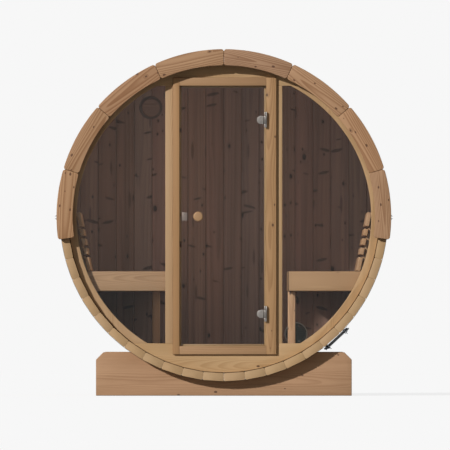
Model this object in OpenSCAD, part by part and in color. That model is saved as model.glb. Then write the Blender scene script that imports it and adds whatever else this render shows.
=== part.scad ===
// Barrel sauna: a cabin of curved staves on two cradles, glazed at the front, with a hinged glass door.
// Frame: +X right, +Y from the door towards the back wall, +Z up, origin on the ground under the middle.

/* [Barrel] */
// Length of the staves
barrel_len = 1800; // [1500:10:2400]
// Distance from the barrel's axis to the flat outer faces of the staves
stave_r = 1016; // [1010:1:1250]
// Thickness of a stave
stave_t = 50; // [42:1:62]
// Number of staves, a multiple of four
stave_count = 48; // [40:4:60]
// Gap between neighbouring staves
stave_gap = 0.5; // [0.3:0.1:0.8]
// Size of the V cut at the corners of a stave
stave_vee = 4; // [2:0.5:6]
// Height of the underside of the barrel above the ground
ground_gap = 90; // [60:1:150]

/* [Cradles] */
// Half the width of a cradle
cradle_half_w = 794; // [600:1:960]
// Height of a cradle
cradle_h = 270; // [200:1:330]
// Thickness of a cradle plank
cradle_t = 45; // [36:1:60]
// Distance from the end of the staves to the outer face of a cradle
cradle_inset = 87; // [40:1:200]
// Chamfer on the upper corners of a cradle
cradle_chamfer = 46; // [10:1:60]

/* [Roof] */
// Angle from the top at which the roof covering ends on each side
roof_angle = 86; // [70:1:87]
// Thickness of the roof covering
roof_t = 12; // [8:1:16]
// Number of fascia boards on each end
fascia_count = 8; // [6:2:12]
// Angle from the top at which the fascia ends on each side
fascia_angle = 98; // [92:1:110]
// Radial width of a fascia board
fascia_w = 101; // [80:1:110]
// Distance that the fascia stands out past the staves' faces
fascia_lip = 22; // [18:1:30]
// Thickness of a fascia board
fascia_t = 46; // [30:1:60]
// Height of the fascia's centre above the barrel's axis
fascia_lift = 4; // [0:1:8]
// Size of the V cut at the ends of the fascia boards
fascia_vee = 9; // [4:1:14]

/* [Hoops] */
// Distance from the middle of the barrel to the middle of a hoop
hoop_y = 700; // [500:5:760]
// Width of a hoop band
hoop_w = 30; // [20:1:50]
// Thickness of a hoop band
hoop_t = 2; // [1:0.5:3]
// Height of the ears of a splice above the band
splice_h = 31; // [20:1:36]
// Distance between the ears of a splice
splice_gap = 12; // [8:1:20]
// Radius of a splice bolt
splice_bolt_r = 4; // [3:0.5:5]
// Angle of the tensioner, clockwise from the top
tension_angle = 137; // [110:1:150]
// Distance between the lugs of a tensioner
tension_span = 137; // [100:1:180]
// Length of the threaded rod
rod_len = 196; // [170:1:240]
// Radius of the threaded rod
rod_r = 6; // [5:0.5:8]
// Height of the rod's centre above the staves' faces
rod_h = 17; // [15:1:24]
// Thickness of a lug
lug_t = 4; // [3:0.5:6]

/* [End walls] */
// Distance from the end of the staves to the face of an end wall
wall_recess = 46; // [30:1:80]
// Thickness of the front wall
wall_t = 45; // [40:1:60]
// Radial width of the curved rims at the side windows
rim_w = 51; // [35:1:70]
// Thickness of the back wall's outer boards
back_t = 28; // [20:1:35]
// Thickness of the back wall's dark inner lining
lining_t = 17; // [12:1:20]
// Height of the side windows' lower edge above the floor
window_sill_h = 25; // [15:1:60]
// Width of the post beside the door on the latch side
post_latch_w = 48; // [35:1:60]
// Width of the post beside the door on the hinge side
post_hinge_w = 37; // [30:1:60]
// Thickness of the window glass
window_glass_t = 6; // [4:1:8]
// Depth of the groove that holds the window glass
glazing_depth = 10; // [6:1:14]

/* [Door] */
// Width of the opening in the door frame
door_w = 538; // [500:1:620]
// Height of the opening in the door frame
door_h = 1616; // [1500:1:1660]
// Distance of the opening's middle from the barrel's axis
door_x = -6.5; // [-30:0.5:30]
// Distance that the door frame stands in front of the wall
frame_proud = 20; // [10:1:30]
// Width of the latch stile
stile_latch_w = 40; // [35:1:70]
// Width of the hinge stile
stile_hinge_w = 63; // [40:1:80]
// Height of the top rail
head_h = 50; // [35:1:56]
// Height of the bottom rail
sill_h = 51; // [35:1:60]
// Width of the stop that the closed door meets
stop_w = 13; // [9:1:18]
// Thickness of the door glass
glass_t = 8; // [6:1:10]
// Gap between the door glass and its frame
glass_gap = 6; // [5:0.5:9]
// Distance from the frame's front to the front of the glass
glass_set = 15.5; // [12:0.5:20]
// Gap between the glass and the stop
stop_gap = 6; // [5:0.5:8]

/* [Door fittings] */
// Radius of a knob
knob_r = 30.5; // [22:0.5:36]
// Height of a knob above the glass
knob_h = 34; // [28:1:40]
// Distance of the knob's middle from the glass's latch edge
knob_inset = 110; // [80:1:140]
// Height of the knob's middle above the floor
knob_z = 812; // [700:1:1000]
// Width of the catch plate
catch_w = 33; // [24:1:40]
// Height of the catch plate
catch_h = 53; // [40:1:70]
// Thickness of the catch plate and the clamp plates
plate_t = 4; // [3:0.5:5]
// Distance of the upper hinge's middle from the top of the glass
hinge_high = 206; // [120:1:300]
// Distance of the lower hinge's middle from the bottom of the glass
hinge_low = 194; // [120:1:300]
// Height of a clamp
clamp_h = 51; // [40:1:70]
// Width of a clamp
clamp_w = 45; // [36:1:60]
// Height of a whole hinge
hinge_h = 97; // [80:1:120]
// Radius of a hinge knuckle
knuckle_r = 6; // [5:0.5:7]
// Radius of a hinge pin
hinge_pin_r = 3; // [2:0.5:3.5]

/* [Back vents] */
// Radius of a vent's cover
vent_r = 65; // [50:1:80]
// Radius of the duct through the wall
duct_r = 50; // [35:1:60]
// Distance of the valve's middle to the left
valve_x = 461; // [300:1:600]
// Height of the valve's middle above the barrel's axis
valve_z = 702; // [500:1:720]
// Distance of the grille's middle to the right
grille_x = 455; // [300:1:500]
// Height of the grille's middle above the floor
grille_z = 84; // [80:1:200]

/* [Inside] */
// Height of the top of the floor above the underside of the barrel
floor_h = 210; // [150:1:260]
// Thickness of the floor boards and the seat boards
board_t = 28; // [20:1:36]
// Width of a floor board
floor_board_w = 88; // [60:1:140]
// Height of the top of the bench above the floor
bench_h = 472; // [380:1:520]
// Height of the boards that frame a bench
apron_h = 121; // [80:1:150]
// Distance from the axis to the inner edge of the right bench
bench_right_x = 396; // [340:1:460]
// Distance from the axis to the inner edge of the left bench
bench_left_x = 345; // [340:1:460]
// Distance from the axis to the legs
leg_x = 401; // [380:1:520]
// Side of a leg and of a bearer
leg_w = 45; // [35:1:60]
// Distance from the middle of the barrel to the middle of a leg
leg_y = 300; // [150:5:600]
// Distance from the end walls to the benches
bench_end_gap = 4; // [3:1:80]
// Number of seat boards on each bench
seat_count = 5; // [3:1:7]
// Distance from the staves to the middle of the lowest back board
back_gap = 78; // [64:1:110]
// Lean of the backrest, in degrees
back_lean = 11; // [5:1:16]
// Thickness of a back board
back_board_t = 26; // [18:1:32]
// Height of the upper and lower back boards
back_wide = 86; // [60:1:100]
// Height of a middle back board
back_narrow = 42; // [30:1:60]
// Gap between the boards of a seat, a floor or a backrest
board_gap = 18; // [8:1:24]

/* [Hidden] */
$fn = 96;
// Number of facets on a circle as large as the barrel
round_fn = 720;
// Clearance between pieces that are seated on or in each other
fit = 0.3;
// Extra reach that makes a cut run clean through
over = 1;
// A length past every edge of the sauna
far = 3000;

// Barrel
half_len = barrel_len / 2;
stave_half_angle = 180 / stave_count;
stave_half_w = stave_r * tan(stave_half_angle) - stave_gap / 2;
// Radius through the outer corners that the V cuts leave on a stave
corner_r = norm([stave_r, stave_half_w - stave_vee]);
axis_z = ground_gap + corner_r;
inner_r = stave_r - stave_t;
// Radius of everything that is fitted inside the staves
wall_r = inner_r - fit;
hoop_r = corner_r + fit;
fascia_r = stave_r + fascia_lip;

// Walls, floor and door, from the front to the back
wall_y = -half_len + wall_recess;
wall_back_y = wall_y + wall_t;
lining_y = half_len - wall_recess - back_t - lining_t;
frame_y = wall_y - frame_proud;
glass_y = frame_y + glass_set;
stop_y = glass_y + glass_t + stop_gap;
glazing_y = wall_y + (wall_t - window_glass_t) / 2;
floor_z = ground_gap + floor_h;
// Height of the door's bottom rail above the floor
opening_z = floor_z + 8;
opening_top = opening_z + door_h;
opening_left = door_x - door_w / 2;
opening_right = door_x + door_w / 2;
frame_left = opening_left - stile_latch_w;
frame_right = opening_right + stile_hinge_w;
frame_bottom = opening_z - sill_h;
frame_top = opening_top + head_h;
window_z = floor_z + window_sill_h;
window_top = opening_top;
rim_r = wall_r - rim_w;
post_left = frame_left - post_latch_w;
post_right = frame_right + post_hinge_w;

// Door leaf and hinges
glass_left = opening_left + glass_gap;
glass_right = opening_right - glass_gap;
glass_bottom = opening_z + glass_gap;
glass_top = opening_top - glass_gap;
knob_x = glass_left + knob_inset;
knob_centre_z = floor_z + knob_z;
hinge_zs = [glass_bottom + hinge_low, glass_top - hinge_high];
// The hinge axis stands in front of the frame, over the edge of the glass
hinge_x = glass_right;
hinge_y = frame_y - knuckle_r - 2;
clamp_right = glass_right - 7;
leaf_t = 3;
leaf_x = opening_right + 1.5;
clamp_bolt_r = 4;
spindle_r = 5;

// Benches and backrests
bench_top = floor_z + bench_h;
bench_y = wall_back_y + bench_end_gap;
bench_half = -bench_y;
bearer_ys = [-leg_y, leg_y];
bracket_ys = [-(bench_half - board_t - leg_w), 0, bench_half - board_t - leg_w];
seat_gap = board_gap / 2;
back_heights = [back_wide, back_narrow, back_narrow, back_narrow, back_wide];
back_z = bench_top + back_wide / 2 + 2;
back_x = chord(wall_r, back_z) - back_gap;

// Half the width inside the barrel at a height
function chord(r, z) = sqrt(r * r - (z - axis_z) * (z - axis_z));
// Distance up the backrest from the middle of its lowest board to the middle of board i
function back_rise(i) = i == 0 ? 0
    : back_rise(i - 1) + (back_heights[i - 1] + back_heights[i]) / 2 + board_gap;

// A flat outline in X and Z, given thickness t from y towards the back
module slab(y, t) {
    translate([0, y + t, 0]) rotate([90, 0, 0]) linear_extrude(t) children();
}

// A box between two corners
module block(low, high) {
    translate(low) cube(high - low);
}

// A cylinder along Y
module rod_y(x, y, z, r, t) {
    translate([x, y, z]) rotate([-90, 0, 0]) cylinder(h = t, r = r);
}

// The round outline of radius r about the barrel's axis
module disc(r) {
    translate([0, axis_z]) circle(r, $fn = round_fn);
}

// The part of a ring between two angles, clockwise from the top
module sector(r_in, r_out, a0, a1, centre_z = axis_z) {
    steps = ceil((a1 - a0) / 30);
    reach = r_out * 1.2;
    translate([0, centre_z]) intersection() {
        difference() {
            circle(r_out, $fn = round_fn);
            circle(r_in, $fn = round_fn);
        }
        polygon(concat([[0, 0]], [for (i = [0 : steps]) let (a = a0 + (a1 - a0) * i / steps)
            reach * [sin(a), cos(a)]]));
    }
}

// Children drawn at the top of the barrel, turned to angle a
module at_angle(a) {
    translate([0, 0, axis_z]) rotate([0, a, 0]) children();
}

// One stave, from its flat outer face down to its inner face, with a V at each corner
module stave(a) {
    slope = tan(stave_half_angle);
    outer_w = stave_half_w;
    inner_w = inner_r * slope - stave_gap / 2;
    half = [[outer_w - stave_vee, stave_r], [outer_w - stave_vee * slope, stave_r - stave_vee],
        [inner_w + stave_vee * slope, inner_r + stave_vee], [inner_w - stave_vee, inner_r]];
    outline = concat(half, [for (i = [3 : -1 : 0]) [-half[i][0], half[i][1]]]);
    slab(-half_len, barrel_len) translate([0, axis_z]) rotate(-a) polygon(outline);
}

// A quarter of the barrel's staves, starting at angle a0
module staves(a0) {
    color("burlywood") for (i = [0 : stave_count / 4 - 1])
        stave(a0 + (2 * i + 1) * stave_half_angle);
}

// A plank on edge that the barrel lies in
module cradle(y) {
    color("tan") slab(y, cradle_t) difference() {
        polygon([[-cradle_half_w, 0], [cradle_half_w, 0], [cradle_half_w, cradle_h - cradle_chamfer],
            [cradle_half_w - cradle_chamfer, cradle_h], [cradle_chamfer - cradle_half_w, cradle_h],
            [-cradle_half_w, cradle_h - cradle_chamfer]]);
        disc(corner_r + fit);
    }
}

// Roof covering laid over the hoops and the upper staves
module roof_covering() {
    color("dimgray") difference() {
        slab(-half_len, barrel_len) sector(hoop_r, hoop_r + roof_t, -roof_angle, roof_angle);
        for (y = [-hoop_y, hoop_y])
            slab(y - hoop_w / 2 - fit, hoop_w + 2 * fit)
                sector(hoop_r - over, hoop_r + hoop_t + fit, -roof_angle - over, roof_angle + over);
    }
}

// The fascia boards of one quarter, cut from thick boards and set end to end
module fascia(y, side) {
    count = fascia_count / 2;
    step = fascia_angle / count;
    joint = stave_gap / fascia_r * 90 / PI;
    centre_z = axis_z + fascia_lift;
    color("tan") for (i = [0 : count - 1])
        slab(y, fascia_t) mirror([side < 0 ? 1 : 0, 0]) difference() {
            sector(fascia_r - fascia_w, fascia_r, i * step + joint, (i + 1) * step - joint, centre_z);
            for (a = [i * step, (i + 1) * step], r = [fascia_r - fascia_w, fascia_r])
                translate([0, centre_z]) rotate(-a) translate([0, r])
                    rotate(45) square(fascia_vee, center = true);
        }
}

// A steel band around the barrel, bolted at both sides and open where the tensioner pulls it
module hoop(y) {
    ear = splice_gap / 2;
    // The band runs on a little past each ear and lug, and is a little wider than they are
    tail = 1;
    ear_w = hoop_w - 2 * tail;
    ear_angle = asin((ear - tail) / hoop_r);
    lug_angle = asin((tension_span / 2 - lug_t / 2 - tail) / hoop_r);
    lug_low = sqrt(pow(hoop_r + hoop_t / 2, 2) - pow(tension_span / 2 + lug_t / 2, 2));
    stretches = [[ear_angle - 90, 90 - ear_angle], [90 + ear_angle, tension_angle - lug_angle],
        [tension_angle + lug_angle, 270 - ear_angle]];
    color("dimgray") {
        for (s = stretches) slab(y - hoop_w / 2, hoop_w) sector(hoop_r, hoop_r + hoop_t, s[0], s[1]);
        for (a = [90, 270]) at_angle(a) {
            for (side = [-1, 1]) translate([side * (ear + hoop_t / 2), y, hoop_r + (hoop_t + splice_h) / 2])
                cube([hoop_t, ear_w, splice_h], center = true);
            translate([0, y, hoop_r + splice_h * 0.6]) rotate([0, 90, 0])
                cylinder(h = splice_h, r = splice_bolt_r, center = true);
            for (side = [-1, 1]) translate([side * (ear + hoop_t + 2.5), y, hoop_r + splice_h * 0.6])
                rotate([0, 90, 0]) cylinder(h = 5, r = 2 * splice_bolt_r, center = true, $fn = 6);
        }
        at_angle(tension_angle) for (side = [-1, 1]) difference() {
            block([side * tension_span / 2 - lug_t / 2, y - ear_w / 2, lug_low],
                [side * tension_span / 2 + lug_t / 2, y + ear_w / 2, stave_r + 2 * rod_h + 4]);
            translate([side * tension_span / 2 - lug_t, y, stave_r + rod_h]) rotate([0, 90, 0])
                cylinder(h = 2 * lug_t, r = rod_r + fit);
        }
    }
}

// Threaded rod with a nut outside each lug
module tensioner(y) {
    nut_t = 10;
    color("dimgray") at_angle(tension_angle) translate([0, y, stave_r + rod_h]) rotate([0, 90, 0]) {
        cylinder(h = rod_len, r = rod_r, center = true);
        for (side = [-1, 1]) translate([0, 0, side * (tension_span / 2 + lug_t / 2 + nut_t / 2)])
            cylinder(h = nut_t, r = rod_r * 1.8, center = true, $fn = 6);
    }
}

module hoop_tensioners() {
    for (y = [-hoop_y, hoop_y]) tensioner(y);
}

// Distance from the axis to a side window's straight edge; side is -1 on the left and 1 on the right
function post_edge(side) = side < 0 ? -post_left : post_right;

// Outline of a side window, grown by g all round
module window_outline(side, g) {
    mirror([side < 0 ? 1 : 0, 0]) intersection() {
        disc(rim_r + g);
        translate([post_edge(side) - g, window_z - g])
            square([far, window_top - window_z + 2 * g]);
    }
}

// Groove that the window glass is held in
module glazing_groove() {
    for (side = [-1, 1]) slab(glazing_y - fit, window_glass_t + 2 * fit)
        window_outline(side, glazing_depth + fit);
}

// A piece of the front wall, from an outline, with the glazing groove cut in
module wall_piece() {
    color("burlywood") difference() {
        slab(wall_y, wall_t) children();
        glazing_groove();
    }
}

module front_sill_panel() {
    wall_piece() difference() {
        intersection() {
            disc(wall_r);
            translate([-far / 2, 0]) square([far, window_z]);
        }
        translate([frame_left, frame_bottom]) square([frame_right - frame_left, far]);
    }
}

module front_head_panel() {
    wall_piece() difference() {
        intersection() {
            disc(wall_r);
            translate([-far / 2, window_top]) square([far, far]);
        }
        translate([frame_left, 0]) square([frame_right - frame_left, frame_top]);
    }
}

module front_rim(side) {
    wall_piece() mirror([side < 0 ? 1 : 0, 0]) intersection() {
        sector(rim_r, wall_r, 20, 160);
        translate([post_edge(side), window_z]) square([far, window_top - window_z]);
    }
}

module front_post(x0, x1) {
    wall_piece() translate([x0, window_z]) square([x1 - x0, window_top - window_z]);
}

module window_glass(side) {
    color("lightblue", 0.3) slab(glazing_y, window_glass_t) window_outline(side, glazing_depth);
}

// Latch stile: full height, with the stop along its back
module door_frame_latch_stile() {
    color("tan") {
        block([frame_left, frame_y, frame_bottom], [opening_left, wall_back_y, frame_top]);
        block([frame_left, stop_y, frame_bottom], [opening_left + stop_w, wall_back_y, frame_top]);
    }
}

// Hinge stile: the same, with a pocket for each hinge leaf
module door_frame_hinge_stile() {
    color("tan") difference() {
        union() {
            block([opening_right, frame_y, frame_bottom], [frame_right, wall_back_y, frame_top]);
            block([opening_right - stop_w, stop_y, frame_bottom],
                [frame_right, wall_back_y, frame_top]);
        }
        for (z = hinge_zs) block([opening_right - over, frame_y - over, z - hinge_h / 2 - fit],
            [leaf_x + leaf_t + fit, stop_y - fit, z + hinge_h / 2 + fit]);
    }
}

// A rail between the stiles; stop_low and stop_high bound its deeper stop
module rail(low, high, stop_low, stop_high) {
    color("tan") {
        block([opening_left, frame_y, low], [opening_right, stop_y, high]);
        block([opening_left + stop_w, stop_y, stop_low],
            [opening_right - stop_w, wall_back_y, stop_high]);
    }
}

module door_frame_head() {
    rail(opening_top, frame_top, opening_top - stop_w, frame_top);
}

module door_frame_sill() {
    rail(frame_bottom, opening_z, frame_bottom, opening_z + stop_w);
}

// Fixed half of each hinge: a leaf in the stile's pocket, two knuckles and the pin
module hinge_leaves() {
    knuckle_h = (hinge_h - clamp_h) / 2 - fit;
    color("silver") for (z = hinge_zs) {
        block([leaf_x, hinge_y - 2, z - hinge_h / 2], [leaf_x + leaf_t, stop_y - 6, z + hinge_h / 2]);
        translate([hinge_x, hinge_y, z]) cylinder(h = hinge_h, r = hinge_pin_r, center = true);
        for (end = [-hinge_h / 2, hinge_h / 2 - knuckle_h]) {
            translate([hinge_x, hinge_y, z + end]) cylinder(h = knuckle_h, r = knuckle_r);
            block([hinge_x, hinge_y - 2, z + end],
                [leaf_x + leaf_t, hinge_y + 2, z + end + knuckle_h]);
        }
    }
}

// Places of the two bolts through the glass in the clamp at height z
function clamp_bolts(z) = [for (side = [-1, 1]) [clamp_right - clamp_w / 2, z + side * clamp_h / 4]];

module door_glass() {
    color("lightblue", 0.3) difference() {
        block([glass_left, glass_y, glass_bottom], [glass_right, glass_y + glass_t, glass_top]);
        rod_y(knob_x, glass_y - over, knob_centre_z, spindle_r + fit, glass_t + 2 * over);
        for (z = hinge_zs, p = clamp_bolts(z))
            rod_y(p[0], glass_y - over, p[1], clamp_bolt_r + fit, glass_t + 2 * over);
    }
}

// Round wooden knob on a neck, standing on the glass
module knob() {
    neck_r = 14;
    neck_h = 9;
    round = 8;
    rotate([90, 0, 0]) rotate_extrude() {
        square([neck_r, neck_h + over]);
        translate([0, neck_h]) square([knob_r - round, knob_h - neck_h]);
        translate([0, neck_h + round]) square([knob_r, knob_h - neck_h - 2 * round]);
        for (h = [neck_h + round, knob_h - round]) translate([knob_r - round, h])
            intersection() {
                circle(round);
                translate([round - knob_r, -round]) square([knob_r, 2 * round]);
            }
    }
}

// A knob on each side of the glass, joined by a spindle
module door_knobs() {
    color("tan") {
        translate([knob_x, glass_y, knob_centre_z]) knob();
        translate([knob_x, glass_y + glass_t, knob_centre_z]) mirror([0, 1, 0]) knob();
        rod_y(knob_x, glass_y - over, knob_centre_z, spindle_r, glass_t + 2 * over);
    }
}

module door_catch_plate() {
    left = glass_left + 9;
    color("silver") block([left, glass_y - plate_t, knob_centre_z - catch_h / 2],
        [left + catch_w, glass_y, knob_centre_z + catch_h / 2]);
}

// Outline of a clamp plate: square at the hinge edge, half round towards the glass
module clamp_outline(width) {
    translate([clamp_right - width, 0]) intersection() {
        union() {
            translate([clamp_h / 2, 0]) circle(clamp_h / 2);
            translate([clamp_h / 2, -clamp_h / 2]) square([width, clamp_h]);
        }
        translate([0, -clamp_h / 2]) square([width, clamp_h]);
    }
}

// Moving half of each hinge: plates on both faces of the glass, bolts, an arm and a bored knuckle
module hinge_clamps() {
    // Keeps the back plate clear of the stop when the door is shut
    back_shift = clamp_right - (opening_right - stop_w) + 5.5;
    color("silver") for (z = hinge_zs) difference() {
        union() {
            translate([0, 0, z]) slab(glass_y - plate_t, plate_t) clamp_outline(clamp_w);
            translate([-back_shift, 0, z]) slab(glass_y + glass_t, plate_t - 1)
                clamp_outline(clamp_w - back_shift);
            for (p = clamp_bolts(z))
                rod_y(p[0], glass_y - over, p[1], clamp_bolt_r, glass_t + 2 * over);
            translate([0, 0, z - clamp_h / 2 + fit]) linear_extrude(clamp_h - 2 * fit) {
                polygon([[clamp_right - 8, glass_y], [clamp_right, glass_y],
                    [hinge_x + knuckle_r * 0.4, hinge_y + knuckle_r * 0.6],
                    [hinge_x - knuckle_r * 0.8, hinge_y - knuckle_r * 0.4]]);
                translate([hinge_x, hinge_y]) circle(knuckle_r);
            }
        }
        translate([hinge_x, hinge_y, z]) cylinder(h = clamp_h + over, r = hinge_pin_r + fit,
            center = true);
    }
}

// A full round wall with a duct hole for each vent
module back_disc(y, t) {
    difference() {
        slab(y, t) disc(wall_r);
        rod_y(-valve_x, y - over, axis_z + valve_z, duct_r, t + 2 * over);
        rod_y(grille_x, y - over, floor_z + grille_z, duct_r, t + 2 * over);
    }
}

module back_wall() {
    color("burlywood") back_disc(lining_y + lining_t, back_t);
}

module back_lining() {
    color("saddlebrown") back_disc(lining_y, lining_t);
}

// Round louvre: a ring with level slats across it
module louvre(x, y, z, t) {
    pitch = 14;
    slat_h = 7;
    ring_w = 8;
    slats = floor(duct_r / pitch);
    translate([x, 0, z]) slab(y, t) {
        difference() {
            circle(vent_r);
            circle(vent_r - ring_w);
        }
        intersection() {
            circle(vent_r - ring_w / 2);
            union() for (i = [-slats : slats]) translate([-vent_r, i * pitch - slat_h / 2])
                square([2 * vent_r, slat_h]);
        }
    }
}

// Sleeve through the back wall
module duct(x, z) {
    sleeve_t = 3;
    length = back_t + lining_t;
    difference() {
        rod_y(x, lining_y, z, duct_r - fit, length);
        rod_y(x, lining_y - over, z, duct_r - fit - sleeve_t, length + 2 * over);
    }
}

// Upper vent: a turned wooden valve disc inside, a louvre outside
module vent_valve() {
    valve_t = 24;
    z = axis_z + valve_z;
    color("peru") {
        rod_y(-valve_x, lining_y - valve_t, z, vent_r, valve_t);
        duct(-valve_x, z);
        louvre(-valve_x, lining_y + lining_t + back_t, z, 8);
    }
}

// Lower vent: a louvre on both faces of the wall
module vent_grille() {
    z = floor_z + grille_z;
    color("dimgray") {
        louvre(grille_x, lining_y - 8, z, 8);
        duct(grille_x, z);
        louvre(grille_x, lining_y + lining_t + back_t, z, 8);
    }
}

// Cross joists cut to the curve of the staves
module floor_joists() {
    joist_h = 70;
    reach = lining_y - leg_w;
    color("tan") for (y = [-reach, -leg_w / 2, reach - leg_w])
        slab(y, leg_w) intersection() {
            disc(wall_r);
            translate([-far / 2, floor_z - board_t - joist_h]) square([far, joist_h]);
        }
}

module floor_boards() {
    half = chord(wall_r, floor_z - board_t) - 2;
    gap = board_gap / 2;
    count = floor((2 * half + gap) / (floor_board_w + gap));
    start = -(count * (floor_board_w + gap) - gap) / 2;
    color("tan") for (i = [0 : count - 1]) let (x = start + i * (floor_board_w + gap))
        block([x, wall_back_y + fit, floor_z - board_t],
            [x + floor_board_w, lining_y - fit, floor_z]);
}

// End boards, inner apron and bearers of the bench whose inner edge is at x
module bench_frame(side, x) {
    bottom = bench_top - apron_h;
    color("tan") mirror([side < 0 ? 1 : 0, 0, 0]) {
        for (y = [bench_y, bench_half - board_t]) slab(y, board_t) intersection() {
            disc(wall_r);
            translate([x, bottom]) square([far, apron_h]);
        }
        block([x, bench_y + board_t + fit, bottom],
            [x + board_t, bench_half - board_t - fit, bench_top]);
        for (y = bearer_ys) slab(y - leg_w / 2, leg_w) intersection() {
            disc(wall_r);
            translate([x + board_t + fit, bottom]) square([far, apron_h - board_t]);
        }
    }
}

// A leg under each bearer, standing on the floor
module bench_legs() {
    color("tan") for (side = [-1, 1], y = bearer_ys) mirror([side < 0 ? 1 : 0, 0, 0])
        block([leg_x, y - leg_w / 2, floor_z], [leg_x + leg_w, y + leg_w / 2, bench_top - apron_h]);
}

// Seat boards between the apron and the staves
module bench_seat(side, x) {
    first = x + board_t + seat_gap;
    last = chord(wall_r, bench_top - board_t) - seat_gap;
    width = (last - first - (seat_count - 1) * seat_gap) / seat_count;
    color("tan") mirror([side < 0 ? 1 : 0, 0, 0]) for (i = [0 : seat_count - 1])
        translate([first + i * (width + seat_gap), bench_y + board_t + fit, bench_top - board_t])
            cube([width, 2 * (bench_half - board_t - fit), board_t]);
}

// Children drawn flat against the backrest's plane, with its lowest board at the origin
module leaning() {
    translate([back_x, back_z]) rotate(-back_lean) children();
}

// Brackets between the backrests and the staves
module backrest_brackets() {
    top = back_rise(4);
    color("tan") for (side = [-1, 1], y = bracket_ys) mirror([side < 0 ? 1 : 0, 0, 0])
        slab(y - leg_w / 2, leg_w) intersection() {
            disc(wall_r);
            leaning() translate([back_board_t / 2 + fit, -back_wide / 4])
                square([far / 4, top + back_wide / 2]);
        }
}

// Boards of a backrest, running the length of the bench
module backrest(side) {
    color("tan") mirror([side < 0 ? 1 : 0, 0, 0]) for (i = [0 : 4])
        slab(bench_y, 2 * bench_half) leaning() translate([0, back_rise(i)])
            square([back_board_t, back_heights[i]], center = true);
}

staves(0);  // staves_upper_right
staves(90);  // staves_lower_right
staves(180);  // staves_lower_left
staves(270);  // staves_upper_left
cradle(-half_len + cradle_inset);  // cradle_front
cradle(half_len - cradle_inset - cradle_t);  // cradle_rear
roof_covering();
fascia(-half_len - fascia_t, 1);  // fascia_front_right
fascia(-half_len - fascia_t, -1);  // fascia_front_left
fascia(half_len, 1);  // fascia_rear_right
fascia(half_len, -1);  // fascia_rear_left
hoop(-hoop_y);  // hoop_front
hoop(hoop_y);  // hoop_rear
hoop_tensioners();
front_sill_panel();
front_head_panel();
front_rim(-1);  // front_rim_left
front_rim(1);  // front_rim_right
front_post(post_left, frame_left);  // front_post_left
front_post(frame_right, post_right);  // front_post_right
window_glass(-1);  // window_glass_left
window_glass(1);  // window_glass_right
door_frame_latch_stile();
door_frame_hinge_stile();
door_frame_head();
door_frame_sill();
hinge_leaves();
door_glass();
door_knobs();
door_catch_plate();
hinge_clamps();
back_wall();
back_lining();
vent_valve();
vent_grille();
floor_joists();
floor_boards();
bench_frame(-1, bench_left_x);  // bench_frame_left
bench_frame(1, bench_right_x);  // bench_frame_right
bench_legs();
bench_seat(-1, bench_left_x);  // bench_seat_left
bench_seat(1, bench_right_x);  // bench_seat_right
backrest_brackets();
backrest(-1);  // backrest_left
backrest(1);  // backrest_right
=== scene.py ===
import math
import random

import bmesh
import bpy
import numpy as np
from mathutils import Matrix, Vector


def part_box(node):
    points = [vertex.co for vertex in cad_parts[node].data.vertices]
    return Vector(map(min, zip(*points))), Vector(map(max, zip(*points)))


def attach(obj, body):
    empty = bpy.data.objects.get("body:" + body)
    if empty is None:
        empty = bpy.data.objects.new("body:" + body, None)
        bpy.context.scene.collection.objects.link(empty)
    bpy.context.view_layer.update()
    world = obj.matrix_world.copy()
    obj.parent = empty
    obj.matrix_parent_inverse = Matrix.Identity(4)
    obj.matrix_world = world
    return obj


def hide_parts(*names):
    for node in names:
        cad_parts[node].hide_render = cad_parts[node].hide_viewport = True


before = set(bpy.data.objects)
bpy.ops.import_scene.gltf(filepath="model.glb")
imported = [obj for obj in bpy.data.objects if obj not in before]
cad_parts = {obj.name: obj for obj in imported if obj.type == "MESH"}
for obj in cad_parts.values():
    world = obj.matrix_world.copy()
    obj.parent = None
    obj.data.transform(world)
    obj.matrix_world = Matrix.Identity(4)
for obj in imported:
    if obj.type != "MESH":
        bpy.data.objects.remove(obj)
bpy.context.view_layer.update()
scene = bpy.context.scene

# ------------------------------------------------------------------------------------ Staves
# Spruce staves, planed all round with a small V at each corner, stand side by side around the
# barrel and run its whole length. Only the steel hoops hold them together.

stave_count = 48
stave_r = 1.016        # from the axis to the flat outer faces
stave_t = 0.050
stave_gap = 0.0005
stave_vee = 0.004      # depth of the V along the inner corners
outer_vee = 0.008      # and along the outer ones, twice as deep as it is wide
half_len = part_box("staves_upper_right")[1].y
axis_z = (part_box("staves_lower_right")[0].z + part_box("staves_upper_right")[1].z) / 2


def tint(code):
    """A colour written as sRGB hex, such as "#a58164", as the linear value that a shader takes."""
    parts = [int(code[i:i + 2], 16) / 255 for i in (1, 3, 5)]
    return [p / 12.92 if p <= 0.04045 else ((p + 0.055) / 1.055) ** 2.4 for p in parts] + [1.0]


def plug(node, inputs):
    """Fills a node's sockets, each with a plain value or with the node or socket it is linked from."""
    for key, value in inputs.items():
        if isinstance(value, bpy.types.Node):
            value = value.outputs[0]
        if isinstance(value, bpy.types.NodeSocket):
            node.id_data.links.new(value, node.inputs[key])
        else:
            node.inputs[key].default_value = value


def add(tree, kind, inputs=None, **settings):
    """Adds a node to a tree, with its settings and its links."""
    node = tree.nodes.new(kind)
    for key, value in settings.items():
        setattr(node, key, value)
    plug(node, inputs or {})
    return node


def blank(name):
    """A new material, with its tree of nodes and its shader."""
    material = bpy.data.materials.new(name)
    material.use_nodes = True
    tree = material.node_tree
    return material, tree, tree.nodes["Principled BSDF"]


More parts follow.
